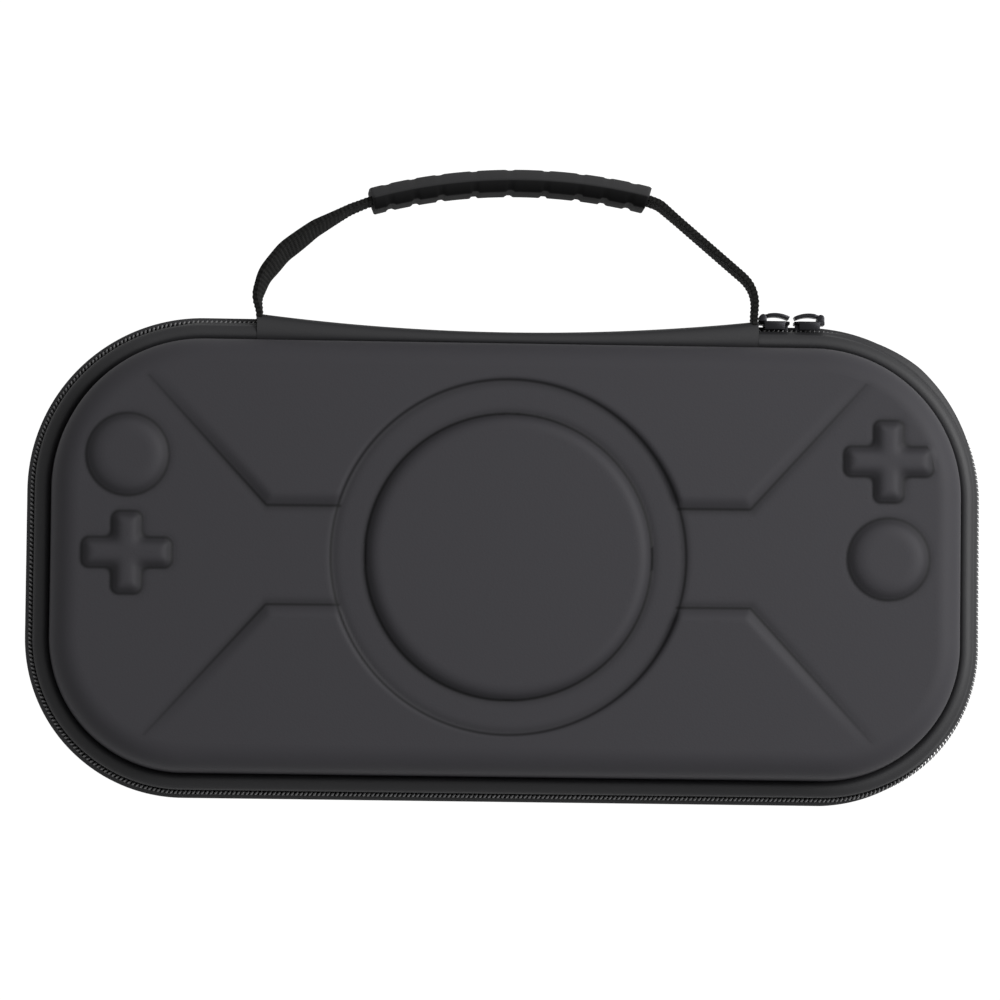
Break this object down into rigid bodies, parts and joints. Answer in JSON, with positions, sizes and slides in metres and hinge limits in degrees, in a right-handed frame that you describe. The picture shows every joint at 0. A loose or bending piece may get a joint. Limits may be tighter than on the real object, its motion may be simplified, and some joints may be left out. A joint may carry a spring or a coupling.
{
  "type": "portable game console case",
  "caption": "Zipped clamshell carry case of moulded foam for a handheld game console, with a raised disc and control pattern on its lid and a webbing handle with a moulded grip.",
  "frame": {"origin": "centre of the flat back face that the case lies on", "axes": "+X to the right along the long edge seen from the front, +Y toward the handle, +Z out of the lid face"},
  "size_m": [0.3, 0.198, 0.0522],
  "materials": {
    "shell_skin": "matte coated cloth over moulded foam",
    "zip_tape": "smooth coated zip tape",
    "zip_coil": "nylon coil with a grey sheen",
    "slider_metal": "dark semi-gloss enamel",
    "webbing": "ribbed woven webbing",
    "grip_rubber": "matte moulded grip",
    "binding": "woven binding tape",
    "net": "open knitted net",
    "elastic": "ribbed elastic band",
    "loop_pile": "loop pile",
    "hook_strip": "hook strip"
  },
  "bodies": {
    "base": {"back_shell": "shell_skin", "zip_tape_back": "zip_tape", "zip_coil_back": "zip_coil", "spine_strip": "zip_tape", "zip_slider_left": "slider_metal", "inner_binding_back": "binding", "console_strap_lower": "elastic", "console_strap_upper": "elastic", "loop_patch": "loop_pile", "hook_patch": "hook_strip"},
    "lid": {"front_shell": "shell_skin", "zip_tape_front": "zip_tape", "zip_coil_front": "zip_coil", "inner_binding_front": "binding", "mesh_pocket": "net", "pocket_hem": "elastic", "pocket_binding": "binding"},
    "handle": {"handle_strap": "webbing", "handle_grip": "grip_rubber"},
    "slider_right": {"zip_slider_right": "slider_metal"},
    "pull_left": {"zip_pull_left": "slider_metal"},
    "pull_right": {"zip_pull_right": "slider_metal"}
  },
  "joints": [
    {"name": "lid_hinge", "type": "hinge", "parent": "base", "child": "lid", "pos_m": [0, 0.0755, 0.027], "axis": [-1, 0, 0], "range_deg": [0, 105], "deforming": ["zip_tape_front", "zip_coil_front", "spine_strip"]},
    {"name": "handle_swing", "type": "hinge", "parent": "base", "child": "handle", "pos_m": [0, 0.0755, 0.027], "axis": [-1, 0, 0], "range_deg": [0, 21]},
    {"name": "slider_right_run", "type": "hinge", "parent": "base", "child": "slider_right", "pos_m": [0.095, 0.0205, 0.027], "axis": [0, 0, -1], "range_deg": [0, 90], "deforming": ["zip_tape_back", "zip_coil_back"]},
    {"name": "pull_left_swing", "type": "hinge", "parent": "base", "child": "pull_left", "pos_m": [0.0804, 0.07795, 0.027], "axis": [0, 0, 1], "range_deg": [0, 85]},
    {"name": "pull_right_swing", "type": "hinge", "parent": "slider_right", "child": "pull_right", "pos_m": [0.0986, 0.07795, 0.027], "axis": [0, 0, -1], "range_deg": [0, 150]}
  ],
  "couplings": [
    {"joint": "handle_swing", "follows": "lid_hinge", "ratio": 0.2}
  ]
}
